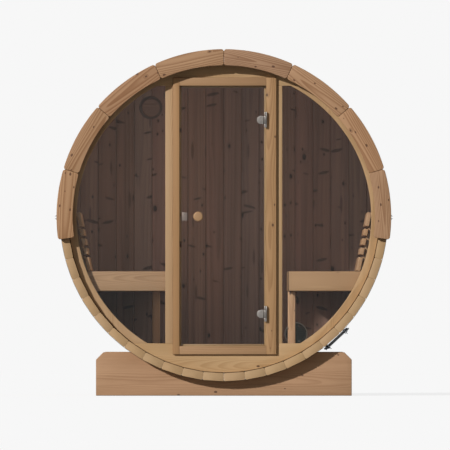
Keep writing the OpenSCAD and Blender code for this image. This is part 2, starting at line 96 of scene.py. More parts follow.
def timber(name, pale, late, knot, ring=0.005, bands=0.5, streaks=0.4, fibres=0.3, knots=0.1, pins=0.1,
           spikes=0.0, vary=0.035, rough=0.62, dirt_and_shade_reach=0.008):
    """Sawn and planed softwood: growth rings cut out of a log, fibres along the board, and knots.

    ring is a year's growth in metres; bands, streaks and fibres say how much late wood, slow
    changes and single fibres darken it. knots, pins and spikes are the shares of places that hold
    a round knot, a pin knot or a branch cut along its length. vary is how much boards differ, and
    the last how near to another surface painted shade, with a little dirt, darkens the wood, in metres.

    Every board carries its own coordinates in the attribute "grain", along, across and through
    the board in metres from the log's pith, and a random number in "tone".
    """
    material, tree, shader = blank(name)
    grain = add(tree, "ShaderNodeAttribute", attribute_name="grain").outputs["Vector"]
    tone = add(tree, "ShaderNodeAttribute", attribute_name="tone").outputs["Fac"]
    smooth = {"interpolation_type": "SMOOTHSTEP"}

    def reach(along, across, share, small, large, lean=0.0):
        """How far off the nearest branch through the board is, in radii of that branch.

        There is at most one in each cell, and along and across say how many cells lie in a metre.
        """
        place = add(tree, "ShaderNodeMapping", {
            "Vector": grain, "Rotation": (0.0, 0.0, lean), "Scale": (1 / along, 1 / across, 1.0)},
            vector_type="TEXTURE")
        cell = add(tree, "ShaderNodeTexVoronoi", {"Vector": place, "Scale": 1.0}, voronoi_dimensions="2D")
        pick = add(tree, "ShaderNodeSeparateColor", {0: cell.outputs["Color"]})
        size = add(tree, "ShaderNodeMapRange", {"Value": pick.outputs[1], "To Min": small,
                                                "To Max": large}, **smooth)
        near = add(tree, "ShaderNodeMath", {0: cell.outputs["Distance"], 1: size}, operation="DIVIDE")
        # A cell without a branch counts as far off
        empty = add(tree, "ShaderNodeMath", {0: pick.outputs[0], 1: share}, operation="GREATER_THAN")
        return add(tree, "ShaderNodeMath", {0: empty, 1: 9.0, 2: near}, operation="MULTIPLY_ADD")

    round_knots = reach(5.5, 9.0, knots, 0.05, 0.13)
    branches = [(round_knots, 1.0), (reach(9.0, 15.0, pins, 0.04, 0.11), 1.0)]
    if spikes:
        branches += [(reach(30.0, 8.0, spikes, 0.16, 0.40, lean), 0.8) for lean in (0.28, -0.22)]
        branches.append((reach(4.5, 30.0, spikes, 0.18, 0.30), 0.6))
    marks = 0.0
    for near, dark in branches:
        core = add(tree, "ShaderNodeMapRange", {"Value": near, "From Min": 1.0, "From Max": 0.7,
                                                "To Max": dark}, **smooth)
        marks = add(tree, "ShaderNodeMath", {0: marks, 1: core}, operation="MAXIMUM")
    halo = add(tree, "ShaderNodeMapRange", {"Value": round_knots, "From Min": 2.4, "From Max": 0.6}, **smooth)

    # Slow waves that bend the rings, bands of darker and paler wood, and fibres
    patterns = []
    for along, across, detail in ((0.9, 6.0, 2.0), (0.6, 22.0, 3.0), (13.0, 300.0, 3.0)):
        place = add(tree, "ShaderNodeVectorMath", {0: grain, 1: (along, across, across)},
                    operation="MULTIPLY")
        patterns.append(add(tree, "ShaderNodeTexNoise", {"Vector": place, "Scale": 1.0, "Detail": detail}))
    wave, band, fibre = patterns

    # Growth rings lie round the pith and flow around the knots
    section = add(tree, "ShaderNodeVectorMath", {0: grain, 1: (0.0, 1.0, 1.0)}, operation="MULTIPLY")
    radius = add(tree, "ShaderNodeVectorMath", {0: section}, operation="LENGTH").outputs["Value"]
    bend = add(tree, "ShaderNodeMath", {0: wave, 1: 0.5}, operation="SUBTRACT")
    for pushed, by in ((bend, 0.04), (halo, 0.010)):
        radius = add(tree, "ShaderNodeMath", {0: pushed, 1: by, 2: radius}, operation="MULTIPLY_ADD")
    years = add(tree, "ShaderNodeMath", {0: radius, 1: ring}, operation="DIVIDE")
    age = add(tree, "ShaderNodeMath", {0: years}, operation="FRACT")
    summer = add(tree, "ShaderNodeMapRange", {"Value": age, "From Min": 0.2, "From Max": 0.86}, **smooth)
    late_wood = add(tree, "ShaderNodeMapRange", {"Value": age, "From Min": 1.0, "From Max": 0.92,
                                                 "To Max": summer}, **smooth)

    # Rings, bands and fibres add up from the pale colour to the late one, and knots lie over both
    darkness = add(tree, "ShaderNodeMath", {0: late_wood, 1: bands}, operation="MULTIPLY")
    for pattern, strength in ((band, 2 * streaks), (fibre, fibres)):
        darkness = add(tree, "ShaderNodeMath", {0: pattern, 1: strength, 2: darkness},
                       operation="MULTIPLY_ADD")
    usual = 0.42 * 2 * streaks + 0.5 * fibres
    late_share = add(tree, "ShaderNodeMapRange", {"Value": darkness, "From Min": usual - 0.25,
                                                  "From Max": usual + 1.0}, **smooth)
    halo_share = add(tree, "ShaderNodeMath", {0: halo, 1: 0.2}, operation="MULTIPLY")
    knot_share = add(tree, "ShaderNodeMath", {0: marks, 1: 0.85}, operation="MULTIPLY")
    colour = tint(pale)
    for layer, share in ((late, late_share), (knot, halo_share), (knot, knot_share)):
        colour = add(tree, "ShaderNodeMix", {0: share, 6: colour, 7: tint(layer)},
                     data_type="RGBA").outputs[2]

    # Boards differ a little in hue, in strength of colour and in lightness
    changes = {"Color": colour}
    for key, fold, middle, swing in (("Hue", 7.3, 0.5, vary / 24), ("Saturation", 3.1, 1.0, vary),
                                     ("Value", 1.0, 1.0, vary)):
        folded = add(tree, "ShaderNodeMath", {0: tone, 1: fold}, operation="MULTIPLY")
        draw = add(tree, "ShaderNodeMath", {0: folded}, operation="FRACT")
        changes[key] = add(tree, "ShaderNodeMapRange", {"Value": draw, "To Min": middle - swing,
                                                        "To Max": middle + swing}, **smooth)
    tinted = add(tree, "ShaderNodeHueSaturation", changes)

    # Painted shade, with a little dirt: near another surface, in joints, corners and deep in the V between
    # boards, the colour darkens towards the knot colour
    nearness = add(tree, "ShaderNodeAmbientOcclusion", {"Distance": dirt_and_shade_reach}, samples=6).outputs["AO"]
    clean = add(tree, "ShaderNodeMapRange", {"Value": nearness, "From Min": 0.25, "From Max": 0.62}, **smooth)
    dirt_and_shade_colour = add(tree, "ShaderNodeMix", {0: clean, 6: tint(knot), 7: tinted}, data_type="RGBA")
    gloss = add(tree, "ShaderNodeMapRange", {"Value": late_wood, "To Min": rough + 0.05,
                                             "To Max": rough - 0.08}, **smooth)
    height = add(tree, "ShaderNodeMath", {0: late_wood, 1: 0.5, 2: fibre}, operation="MULTIPLY_ADD")
    relief = add(tree, "ShaderNodeBump", {"Height": height, "Strength": 0.3, "Distance": 0.0006})
    plug(shader, {"Base Color": dirt_and_shade_colour.outputs[2], "Roughness": gloss, "Normal": relief,
                  "Specular IOR Level": 0.3})
    return material


def bar(bm, outline, way):
    """A closed bar: an outline of points, drawn out along a vector."""
    ends = [[bm.verts.new(Vector(point) + step) for point in outline] for step in (Vector(), Vector(way))]
    bm.faces.new(ends[0])
    bm.faces.new(ends[1][::-1])
    for i in range(len(outline)):
        j = (i + 1) % len(outline)
        bm.faces.new((ends[0][j], ends[0][i], ends[1][i], ends[1][j]))


def ease(bm, width, segments=2, over=25.0):
    """Rounds every edge that is sharper than an angle in degrees."""
    bmesh.ops.recalc_face_normals(bm, faces=bm.faces)
    sharp = [e for e in bm.edges if e.is_manifold and e.calc_face_angle() > math.radians(over)]
    bmesh.ops.bevel(bm, geom=sharp, offset=width, segments=segments, profile=0.5,
                    affect="EDGES", clamp_overlap=True)


def shade(mesh, finish, flat_over):
    """Gives a mesh its one finish, shaded smooth except at edges sharper than an angle in degrees."""
    mesh.materials.clear()
    mesh.materials.append(finish)
    mesh.polygons.foreach_set("use_smooth", [True] * len(mesh.polygons))
    mesh.set_sharp_from_angle(angle=math.radians(flat_over))


def made(name, bm, finish, flat_over=32.0):
    """A piece from its finished bmesh, with every face turned outwards."""
    bmesh.ops.recalc_face_normals(bm, faces=bm.faces)
    mesh = bpy.data.meshes.new(name)
    bm.to_mesh(mesh)
    bm.free()
    shade(mesh, finish, flat_over)
    piece = bpy.data.objects.new(name, mesh)
    scene.collection.objects.link(piece)
    return piece


def pith(rng):
    """Where a board's middle lay in its log: along it, beside the pith and out from the pith."""
    return (rng.uniform(0, 40), rng.uniform(-0.05, 0.05), rng.choice((-1, 1)) * rng.uniform(0.02, 0.09))


# One tree of Geometry Nodes sets out any shape that repeats, and is used for every such piece
set_out = bpy.data.node_groups.new("set_out_pieces", "GeometryNodeTree")
set_out.interface.new_socket("Geometry", in_out="INPUT", socket_type="NodeSocketGeometry")
shape_socket = set_out.interface.new_socket("Shape", in_out="INPUT", socket_type="NodeSocketObject")
finish_socket = set_out.interface.new_socket("Finish", in_out="INPUT", socket_type="NodeSocketMaterial")
set_out.interface.new_socket("Geometry", in_out="OUTPUT", socket_type="NodeSocketGeometry")
carried = {name: add(set_out, "GeometryNodeInputNamedAttribute", {"Name": name}, data_type="FLOAT_VECTOR")
           for name in ("turn", "size", "grain", "shift")}
given = add(set_out, "NodeGroupInput")
shape_node = add(set_out, "GeometryNodeObjectInfo", {"Object": given.outputs["Shape"]})
turned_to = add(set_out, "FunctionNodeEulerToRotation", {"Euler": carried["turn"]})
copies = add(set_out, "GeometryNodeInstanceOnPoints", {
    "Points": given.outputs["Geometry"], "Instance": shape_node.outputs["Geometry"],
    "Rotation": turned_to, "Scale": carried["size"]})
joined = add(set_out, "GeometryNodeRealizeInstances", {"Geometry": copies})
own_grain = add(set_out, "ShaderNodeVectorMath", {0: carried["grain"], 1: carried["shift"]}, operation="ADD")
marked = add(set_out, "GeometryNodeStoreNamedAttribute", {
    "Geometry": joined, "Name": "grain", "Value": own_grain}, data_type="FLOAT_VECTOR", domain="POINT")
finished = add(set_out, "GeometryNodeSetMaterial", {"Geometry": marked, "Material": given.outputs["Finish"]})
add(set_out, "NodeGroupOutput", {0: finished})


def settle(piece):
    """Turns a piece and its modifiers into a plain mesh."""
    result = piece.evaluated_get(bpy.context.evaluated_depsgraph_get())
    plain = bpy.data.meshes.new_from_object(result)
    piece.modifiers.clear()
    piece.data = plain


def repeat(name, shape, places, finish, grain=None):
    """Sets a shape out at every place, each a position, a turn and a size, as one plain mesh.

    grain gives a point's place along, across and through the shape, where it is of wood.
    """
    rng = random.Random(name)
    if grain:
        rows = [grain(v.co) for v in shape.data.vertices]
        own = shape.data.attributes.new("grain", "FLOAT_VECTOR", "POINT")
        own.data.foreach_set("vector", np.array(rows, float).ravel())
    cloud = bpy.data.meshes.new(name)
    cloud.from_pydata([at for at, turn, size in places], [], [])
    columns = {"turn": [turn for at, turn, size in places], "size": [size for at, turn, size in places],
               "shift": [pith(rng) for place in places]}
    for key, rows in columns.items():
        column = cloud.attributes.new(key, "FLOAT_VECTOR", "POINT")
        column.data.foreach_set("vector", np.array(rows, float).ravel())
    tones = cloud.attributes.new("tone", "FLOAT", "POINT")
    tones.data.foreach_set("value", [rng.random() for place in places])
    piece = bpy.data.objects.new(name, cloud)
    scene.collection.objects.link(piece)
    modifier = piece.modifiers.new("set_out", "NODES")
    modifier.node_group = set_out
    modifier[shape_socket.identifier] = shape
    modifier[finish_socket.identifier] = finish
    settle(piece)
    bpy.data.objects.remove(shape)
    return piece


# Fresh Nordic spruce: pale straw colour, soft brown late wood, small red-brown knots
# Painted shade reaches further on the staves, so their corner with the front wall shows dark
stave_wood = timber("planed_spruce_staves", "#b79770", "#977650", "#3f291b", bands=0.4, streaks=0.2,
                    knots=0.15, vary=0.02, dirt_and_shade_reach=0.02)
half_angle = math.pi / stave_count
outer_w = stave_r * math.tan(half_angle) - stave_gap / 2
inner_w = (stave_r - stave_t) * math.tan(half_angle) - stave_gap / 2
vee_in = stave_vee * math.tan(half_angle)
side = [(outer_w - outer_vee / 2, stave_r), (outer_w - outer_vee * math.tan(half_angle), stave_r - outer_vee),
        (inner_w + vee_in, stave_r - stave_t + stave_vee), (inner_w - stave_vee, stave_r - stave_t)]
outline = [(x, -half_len, z) for x, z in side + [(-x, z) for x, z in side[::-1]]]
bm = bmesh.new()
bar(bm, outline, (0, 2 * half_len, 0))
ease(bm, 0.0004)
stave = made("stave", bm, stave_wood)
angles = [(2 * i + 1) * half_angle for i in range(stave_count)]
staves = repeat("barrel_staves", stave, [((0, 0, axis_z), (0, a, 0), (1, 1, 1)) for a in angles],
                stave_wood, grain=lambda p: (p.y, p.x, p.z - stave_r))
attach(staves, "cabin")
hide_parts("staves_upper_right", "staves_lower_right", "staves_lower_left", "staves_upper_left")

# ----------------------------------------------------------------------------------- Cradles
# Two spruce planks on edge, hollowed to the barrel's curve and cut off at the upper corners.
# They carry the whole cabin and stand on the ground.


def islands(mesh):
    """The vertex numbers of each separate solid in a mesh."""
    head = list(range(len(mesh.vertices)))

    def top(i):
        while head[i] != i:
            head[i] = head[head[i]]
            i = head[i]
        return i

    for edge in mesh.edges:
        head[top(edge.vertices[0])] = top(edge.vertices[1])
    groups = {}
    for i in range(len(head)):
        groups.setdefault(top(i), []).append(i)
    return list(groups.values())


def record_grain(piece, lie=None, slope=0.02):
    """Gives each board of a piece its own coordinates in a log and its own tone.

    The grain runs along a board's longest side, unless lie gives its three directions.
    """
    rng = random.Random(piece.name)
    points = np.array([v.co for v in piece.data.vertices])
    grain = np.zeros_like(points)
    tones = np.zeros(len(points))
    for board in islands(piece.data):
        corners = points[board].min(0), points[board].max(0)
        middle = (corners[0] + corners[1]) / 2
        axes = np.eye(3)[np.argsort(corners[0] - corners[1])]
        if lie:
            axes = np.array(lie(Vector(middle)))
        local = (points[board] - middle) @ axes.T
        local[:, 2] += local[:, 0] * rng.uniform(-slope, slope)
        grain[board] = local + pith(rng)
        tones[board] = rng.random()
    piece.data.attributes.new("grain", "FLOAT_VECTOR", "POINT").data.foreach_set("vector", grain.ravel())
    piece.data.attributes.new("tone", "FLOAT", "POINT").data.foreach_set("value", tones)


def dressed(name, node, finish, edge, segments=2, first=None):
    """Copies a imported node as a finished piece, its edges rounded over a width.

    first, a test of an edge and a width, picks edges that are cut off more than the others.
    """
    bm = bmesh.new()
    bm.from_mesh(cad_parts[node].data)
    bmesh.ops.remove_doubles(bm, verts=bm.verts, dist=1e-5)
    bmesh.ops.dissolve_limit(bm, angle_limit=math.radians(0.1), verts=bm.verts, edges=bm.edges)
    if first:
        picked = [e for e in bm.edges if e.is_manifold and first[0](e)]
        bmesh.ops.bevel(bm, geom=picked, offset=first[1], segments=1, affect="EDGES")
    ease(bm, edge, segments)
    piece = made(name, bm, finish)
    record_grain(piece)
    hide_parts(node)
    return piece


# Weathered spruce planks: a duller brown than the staves, with fine level grain and small knots
cradle_wood = timber("sawn_spruce_cradles", "#b68e6b", "#8f6847", "#3f281b", bands=0.35, knots=0.04,
                     pins=0.2, rough=0.7)
for end in ("front", "rear"):
    cradle = dressed(f"cradle_plank_{end}", f"cradle_{end}", cradle_wood, edge=0.003)
    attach(cradle, "cabin")

# ------------------------------------------------------------------------------------- Hoops
# Flat steel bands with bolted ears at both sides. Below on the right a threaded rod with nuts
# pulls each band tight, so that the staves stay closed as they dry.


def metal(name, colour, rough, grit):
    """Bare or coated metal, a little uneven in gloss; grit is the size of its texture in metres."""
    material, tree, shader = blank(name)
    place = add(tree, "ShaderNodeTexCoord").outputs["Object"]
    speckle = add(tree, "ShaderNodeTexNoise", {"Vector": place, "Scale": 1 / grit, "Detail": 4.0})
    cloudy = add(tree, "ShaderNodeTexNoise", {"Vector": place, "Scale": 14.0, "Detail": 3.0})
    gloss = add(tree, "ShaderNodeMapRange", {"Value": cloudy, "From Min": 0.3, "From Max": 0.7,
                                             "To Min": rough - 0.08, "To Max": rough + 0.1})
    level = add(tree, "ShaderNodeMapRange", {"Value": speckle, "From Min": 0.25, "From Max": 0.75,
                                             "To Min": 0.85, "To Max": 1.1})
    toned = add(tree, "ShaderNodeHueSaturation", {"Color": tint(colour), "Value": level})
    relief = add(tree, "ShaderNodeBump", {"Height": speckle, "Strength": 0.15, "Distance": 0.0003})
    plug(shader, {"Base Color": toned, "Roughness": gloss, "Normal": relief, "Metallic": 1.0})
    return material


def coat(material, *nodes):
    """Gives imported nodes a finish."""
    for node in nodes:
        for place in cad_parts[node].material_slots:
            place.material = material


# Galvanised strip, dulled outdoors
hoop_steel = metal("galvanised_hoop_steel", "#7d8287", 0.45, 0.004)
coat(hoop_steel, "hoop_front", "hoop_rear")

# Dark zinc-plated rod. The thread is M12, drawn at twice its real pitch so that it shows
rod_steel = metal("dark_zinc_plated_rod", "#6f7276", 0.4, 0.003)
tension_angle = math.radians(137)
tension_span = 0.137   # between the middles of the two lugs
lug_t = 0.004
rod_len = 0.196
rod_r = 0.006
rod_at = stave_r + 0.017
thread_pitch = 0.0035
thread_depth = 0.0012
hoop_y = 0.700


def turned(bm, profile, segments=48, centre=(0, 0)):
    """A closed solid turned about an axis along Y through centre, from (radius, y) points.

    The profile runs from the axis back to the axis, or for a ring back to its own first point.
    """
    rings = {}
    for radius, y in profile:
        if (radius, y) not in rings:
            turns = [2 * math.pi * k / segments for k in range(segments if radius else 1)]
            rings[radius, y] = [bm.verts.new((centre[0] + radius * math.cos(a), y,
                                              centre[1] + radius * math.sin(a))) for a in turns]
    for start, end in zip(profile, profile[1:]):
        a, b = rings[start], rings[end]
        for k in range(segments):
            n = (k + 1) % segments
            if len(a) == 1:
                bm.faces.new((a[0], b[n], b[k]))
            elif len(b) == 1:
                bm.faces.new((a[k], a[n], b[0]))
            else:
                bm.faces.new((a[k], a[n], b[n], b[k]))


def helix_rod(bm, radius, length, pitch, depth, segments=16, steps=4):
    """A threaded rod along X about the origin, its ridge running round as a helix."""
    count = round(length / pitch) * steps
    rings = []
    for i in range(count + 1):
        x = -length / 2 + length * i / count
        ring = []
        for k in range(segments):
            turn = k / segments
            ridge = abs(((x / pitch + turn) % 1.0) * 2 - 1)
            r = radius - depth * ridge
            ring.append(bm.verts.new((x, r * math.cos(2 * math.pi * turn), r * math.sin(2 * math.pi * turn))))
        rings.append(ring)
    for a, b in zip(rings, rings[1:]):
        for k in range(segments):
            n = (k + 1) % segments
            bm.faces.new((a[k], b[k], b[n], a[n]))
    bm.faces.new(rings[0])
    bm.faces.new(rings[-1][::-1])


bm = bmesh.new()
helix_rod(bm, rod_r, rod_len, thread_pitch, thread_depth)
rod = made("rod", bm, rod_steel, flat_over=50)


def on_barrel(angle, along, y, out):
    """A point at an angle from the top, moved along the tangent there, at a distance from the axis."""
    return (math.sin(angle) * out + math.cos(angle) * along, y,
            axis_z + math.cos(angle) * out - math.sin(angle) * along)


places = [(on_barrel(tension_angle, 0, y, rod_at), (0, tension_angle, 0), (1, 1, 1))
          for y in (-hoop_y, hoop_y)]
rods = repeat("tension_rods", rod, places, rod_steel)
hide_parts("hoop_tensioners")

# Hexagon nuts with a washer, chamfered like forged ones
nut_r = rod_r * 1.8
nut_half = 0.005
washer_r, washer_t = nut_r * 1.15, 0.0015
bore = rod_r * 0.8
washer_y = nut_half + 0.0001
bm = bmesh.new()
turned(bm, [(bore, -nut_half), (nut_r * 0.88, -nut_half), (nut_r, -nut_half * 0.7), (nut_r, nut_half * 0.7),
            (nut_r * 0.88, nut_half), (bore, nut_half), (bore, -nut_half)], segments=6)
turned(bm, [(bore, washer_y), (washer_r, washer_y), (washer_r, washer_y + washer_t),
            (bore, washer_y + washer_t), (bore, washer_y)], segments=24)
bmesh.ops.rotate(bm, verts=bm.verts, matrix=Matrix.Rotation(math.pi / 2, 3, "Z"))
nut = made("nut", bm, rod_steel)
nut_seat = (tension_span + lug_t) / 2 + washer_y + washer_t
places = []
for y in (-hoop_y, hoop_y):
    for along, turn in ((-nut_seat, tension_angle + math.pi), (nut_seat, tension_angle)):
        places.append((on_barrel(tension_angle, along, y, rod_at), (0, turn, 0), (1, 1, 1)))
nuts = repeat("tension_nuts", nut, places, rod_steel)
for piece in (rods, nuts):
    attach(piece, "cabin")

# --------------------------------------------------------------------------------------- Roof
# Bitumen shingles in overlapping courses on an underlay, laid over the hoops and the upper
# staves. They are cut from felt, covered with mineral grit and capped along the ridge.

roof_r = 1.0220        # radius that the underside of the shingles starts from
roof_angle = math.radians(86)
underlay_r = 1.0204
underlay_t = 0.0014
shingle_t = 0.003
shingle_rise = 0.0052
tab_len = 0.235
tab_w = 0.2
tab_joint = 0.003
tab_straight = 0.72    # share of the length with straight sides
tab_tip = 0.48         # width of the point, as a share of the tab
course_count = 10
exposed = ((roof_r + shingle_rise + shingle_t) * roof_angle - tab_len) / (course_count - 1)

# Charcoal grit on felt: grains of about 1 mm, drawn at 4 mm so that they show
shingle_felt, tree, shader = blank("mineral_bitumen_shingle")
place = add(tree, "ShaderNodeTexCoord").outputs["Object"]
grit = add(tree, "ShaderNodeTexVoronoi", {"Vector": place, "Scale": 1 / 0.004})
patch = add(tree, "ShaderNodeTexNoise", {"Vector": place, "Scale": 9.0, "Detail": 4.0})
tone = add(tree, "ShaderNodeAttribute", attribute_name="tone").outputs["Fac"]
grain_shade = add(tree, "ShaderNodeSeparateColor", {0: grit.outputs["Color"]})
grains = add(tree, "ShaderNodeValToRGB", {0: grain_shade})
grains.color_ramp.elements[0].color = tint("#2c2d2f")
grains.color_ramp.elements[1].color = tint("#6a6a68")
grains.color_ramp.elements.new(0.6).color = tint("#3e3f40")
level = add(tree, "ShaderNodeMath", {0: patch, 1: 0.3, 2: 0.62}, operation="MULTIPLY_ADD")
level = add(tree, "ShaderNodeMath", {0: tone, 1: 0.55, 2: level}, operation="MULTIPLY_ADD")
# Painted shade: the felt darkens where the tab above lies near, along that tab's edge
nearness = add(tree, "ShaderNodeAmbientOcclusion", {"Distance": 0.014}, samples=8).outputs["AO"]
edge_shade = add(tree, "ShaderNodeMapRange", {"Value": nearness, "From Min": 0.5, "From Max": 0.9,
                                              "To Min": 0.35, "To Max": 1.0})
level = add(tree, "ShaderNodeMath", {0: level, 1: edge_shade}, operation="MULTIPLY")
shaded = add(tree, "ShaderNodeHueSaturation", {"Color": grains, "Value": level})
relief = add(tree, "ShaderNodeBump", {"Height": grit.outputs["Distance"], "Strength": 0.5,
                                      "Distance": 0.001})
plug(shader, {"Base Color": shaded, "Normal": relief, "Roughness": 0.9, "Specular IOR Level": 0.25})


def curved_plate(bm, outline, length, under, thickness, steps):
    """A plate bent round the axis.

    At a distance s down the slope, outline(s) is its half width and under(s) its underside's radius.
    """
    rows = []
    for i in range(steps + 1):
        s = length * i / steps
        half, low = outline(s), under(s)
        angle = s / roof_r
        rows.append([[bm.verts.new((math.sin(angle) * r, y, math.cos(angle) * r)) for y in (-half, half)]
                     for r in (low, low + thickness)])
    for (a_low, a_top), (b_low, b_top) in zip(rows, rows[1:]):
        bm.faces.new((a_top[0], b_top[0], b_top[1], a_top[1]))
        bm.faces.new((a_low[0], a_low[1], b_low[1], b_low[0]))
        bm.faces.new((a_low[0], b_low[0], b_top[0], a_top[0]))
        bm.faces.new((a_low[1], a_top[1], b_top[1], b_low[1]))
    for low, top in (rows[0], rows[-1]):
        bm.faces.new((low[0], low[1], top[1], top[0]))


def tab_half(s):
    """Straight sides, then cut to a blunt point like a hexagon's lower half."""
    point = max(0.0, s / tab_len - tab_straight) / (1 - tab_straight)
    return (tab_w - tab_joint) / 2 * (1 - (1 - tab_tip) * point)


bm = bmesh.new()
curved_plate(bm, tab_half, tab_len, lambda s: roof_r + shingle_rise * s / tab_len, shingle_t, 7)
tab = made("shingle_tab", bm, shingle_felt, flat_over=40)
tabs_a_row = round(2 * half_len / tab_w)
places = []
for course in range(course_count):
    angle = course * exposed / roof_r
    for column in range(tabs_a_row + course % 2):
        y = -half_len + tab_w * (column + (0.5 if course % 2 == 0 else 0.0))
        width = 1.0
        if course % 2 and column in (0, tabs_a_row):
            width = 0.5
            y += tab_w / 4 * (1 if column == 0 else -1)
        for turn in ((0, angle, 0), (0, angle, math.pi)):
            places.append(((0, y, axis_z), turn, (1, width, 1)))
shingles = repeat("roof_shingles", tab, places, shingle_felt)
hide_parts("roof_covering")

# Ridge caps, cut from the same felt and bent over the top, lap each other at the sides
cap_count = 15
cap_w = 0.16
cap_t = 0.0025
cap_r = roof_r + 0.0068
cap_reach = 0.12
lap = 0.0013
sheet_gap = 0.001      # left free at each end of a cap and of the underlay
bm = bmesh.new()
curved_plate(bm, lambda s: cap_w / 2 - sheet_gap, 2 * cap_reach, lambda s: cap_r, cap_t, 8)
bmesh.ops.rotate(bm, verts=bm.verts, matrix=Matrix.Rotation(-cap_reach / roof_r, 3, "Y"))
cap = made("ridge_cap", bm, shingle_felt, flat_over=40)
cap_step = (2 * half_len - cap_w) / (cap_count - 1)
places = [((0, -half_len + cap_w / 2 + i * cap_step, axis_z + lap * (i % 2)), (0, 0, 0), (1, 1, 1))
          for i in range(cap_count)]
caps = repeat("ridge_caps", cap, places, shingle_felt)

# One sheet of felt under the shingles, from eaves to eaves
bm = bmesh.new()
curved_plate(bm, lambda s: half_len - sheet_gap, 2 * roof_angle * roof_r, lambda s: underlay_r,
             underlay_t, 96)
bmesh.ops.rotate(bm, verts=bm.verts, matrix=Matrix.Rotation(-roof_angle, 3, "Y"))
bmesh.ops.translate(bm, verts=bm.verts, vec=(0, 0, axis_z))
underlay = made("roof_underlay", bm, shingle_felt)
for piece in (shingles, caps, underlay):
    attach(piece, "cabin")

# ------------------------------------------------------------------------------------- Fascia
# Thick curved boards, sawn from wide planks and set end to end, finish the roof's edge at the
# front and at the back. Their corners are rounded, so a small V shows at each joint.

# Warm spruce, flat sawn, so that the rings show as long lines and ovals
fascia_wood = timber("sawn_spruce_fascia", "#b08a69", "#835c3d", "#4a2c1d", ring=0.008, bands=0.6,
                     streaks=0.25, knots=0.3, pins=0.35, rough=0.66)
fascia_lift = 0.004    # its centre lies this far above the barrel's axis
fascia_centre = axis_z + fascia_lift


def around_fascia(middle):
    """Grain along the tangent, then outwards, then through the board."""
    angle = math.atan2(middle.x, middle.z - fascia_centre)
    return (math.cos(angle), 0, -math.sin(angle)), (math.sin(angle), 0, math.cos(angle)), (0, 1, 0)


fascia_low, fascia_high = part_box("fascia_front_right")
fascia_out = fascia_high.z - fascia_centre
fascia_w = 0.101
fascia_in = fascia_out - fascia_w
fascia_end = math.radians(98)
fascia_boards = 8      # at each end of the barrel
board_span = 2 * fascia_end / fascia_boards
end_joint = 0.0008     # half the joint between two boards, along the outer edge
corner_r = 0.015
arc_steps = 14


def fascia_board(bm, start, y, thickness):
    """One board that begins at an angle from the top, its four corners rounded."""
    first, last = start + end_joint / fascia_out, start + board_span - end_joint / fascia_out
    turns = [first + (last - first) * i / arc_steps for i in range(arc_steps + 1)]
    inner, outer = [[(math.sin(a) * r, y, fascia_centre + math.cos(a) * r) for a in turns]
                    for r in (fascia_in, fascia_out)]
    part = bmesh.new()
    bar(part, inner + outer[::-1], (0, thickness, 0))
    bmesh.ops.recalc_face_normals(part, faces=part.faces)
    corners = [e for e in part.edges if e.calc_face_angle() > math.radians(60)
               and abs((e.verts[0].co - e.verts[1].co).normalized().y) > 0.99]
    bmesh.ops.bevel(part, geom=corners, offset=corner_r, segments=5, profile=0.5, affect="EDGES")
    ease(part, 0.003, 3, over=45)
    whole = bpy.data.meshes.new("board")
    part.to_mesh(whole)
    part.free()
    bm.from_mesh(whole)
    bpy.data.meshes.remove(whole)


for end, face in (("front", fascia_low.y), ("rear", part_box("fascia_rear_right")[0].y)):
    bm = bmesh.new()
    for i in range(fascia_boards):
        fascia_board(bm, -fascia_end + i * board_span, face, fascia_high.y - fascia_low.y)
    boards = made(f"fascia_boards_{end}", bm, fascia_wood)
    record_grain(boards, lie=around_fascia, slope=0.03)
    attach(boards, "cabin")
    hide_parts(f"fascia_{end}_right", f"fascia_{end}_left")

# --------------------------------------------------------------------------------- Front wall
# Laminated spruce panels above and below the windows, curved rims at the staves and a post at
# each side of the door. All are grooved for the glass.

# Pale spruce with a yellow cast, close grain and few knots
wall_wood = timber("laminated_spruce_wall", "#b69670", "#997752", "#3f291b", bands=0.4, streaks=0.35,
                   knots=0.03, pins=0.03)
wall_vee = 0.004       # cut off the edges along the staves
wall_parts = {"wall_panel_sill": "front_sill_panel", "wall_panel_head": "front_head_panel",
              "wall_rim_left": "front_rim_left", "wall_rim_right": "front_rim_right",
              "wall_post_left": "front_post_left", "wall_post_right": "front_post_right"}


def at_staves(edge):
    """An edge of a wall face that follows the staves."""
    a, b = (v.co - Vector((0, v.co.y, axis_z)) for v in edge.verts)
    outside = min(a.length, b.length) > stave_r - stave_t - 0.003
    level = abs(a.y - b.y) < 1e-4
    around = abs((a - b).normalized().dot(a.normalized())) < 0.3
    return outside and level and around and edge.calc_face_angle() > math.radians(60)


for name, node in wall_parts.items():
    part = dressed(name, node, wall_wood, edge=0.0012, first=(at_staves, wall_vee))
    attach(part, "cabin")

# Clear float glass: sight and light pass through, and only a little is mirrored. Seen on its
# edge it is green, so faces that look sideways or up and down take a deeper tint
clear_glass, tree, shader = blank("clear_float_glass")
tree.nodes.remove(shader)
head_on = 0.0115       # what a pane mirrors when it is seen square on, as coated glass does
facing = add(tree, "ShaderNodeSeparateXYZ", {0: add(tree, "ShaderNodeTexCoord").outputs["Normal"]})
flat = add(tree, "ShaderNodeMath", {0: facing.outputs[1]}, operation="ABSOLUTE")
pane = add(tree, "ShaderNodeMath", {0: flat, 1: 0.5}, operation="GREATER_THAN")
body = add(tree, "ShaderNodeMix", {0: pane, 6: tint("#9fc3b4"), 7: tint("#fbfdfc")}, data_type="RGBA")
through = add(tree, "ShaderNodeBsdfTransparent", {"Color": body.outputs[2]})
mirror = add(tree, "ShaderNodeBsdfGlossy", {"Color": (1, 1, 1, 1), "Roughness": 0.02})
edge_on = add(tree, "ShaderNodeLayerWeight", {"Blend": 0.5})
rise = add(tree, "ShaderNodeMath", {0: edge_on.outputs["Facing"], 1: 5.0}, operation="POWER")
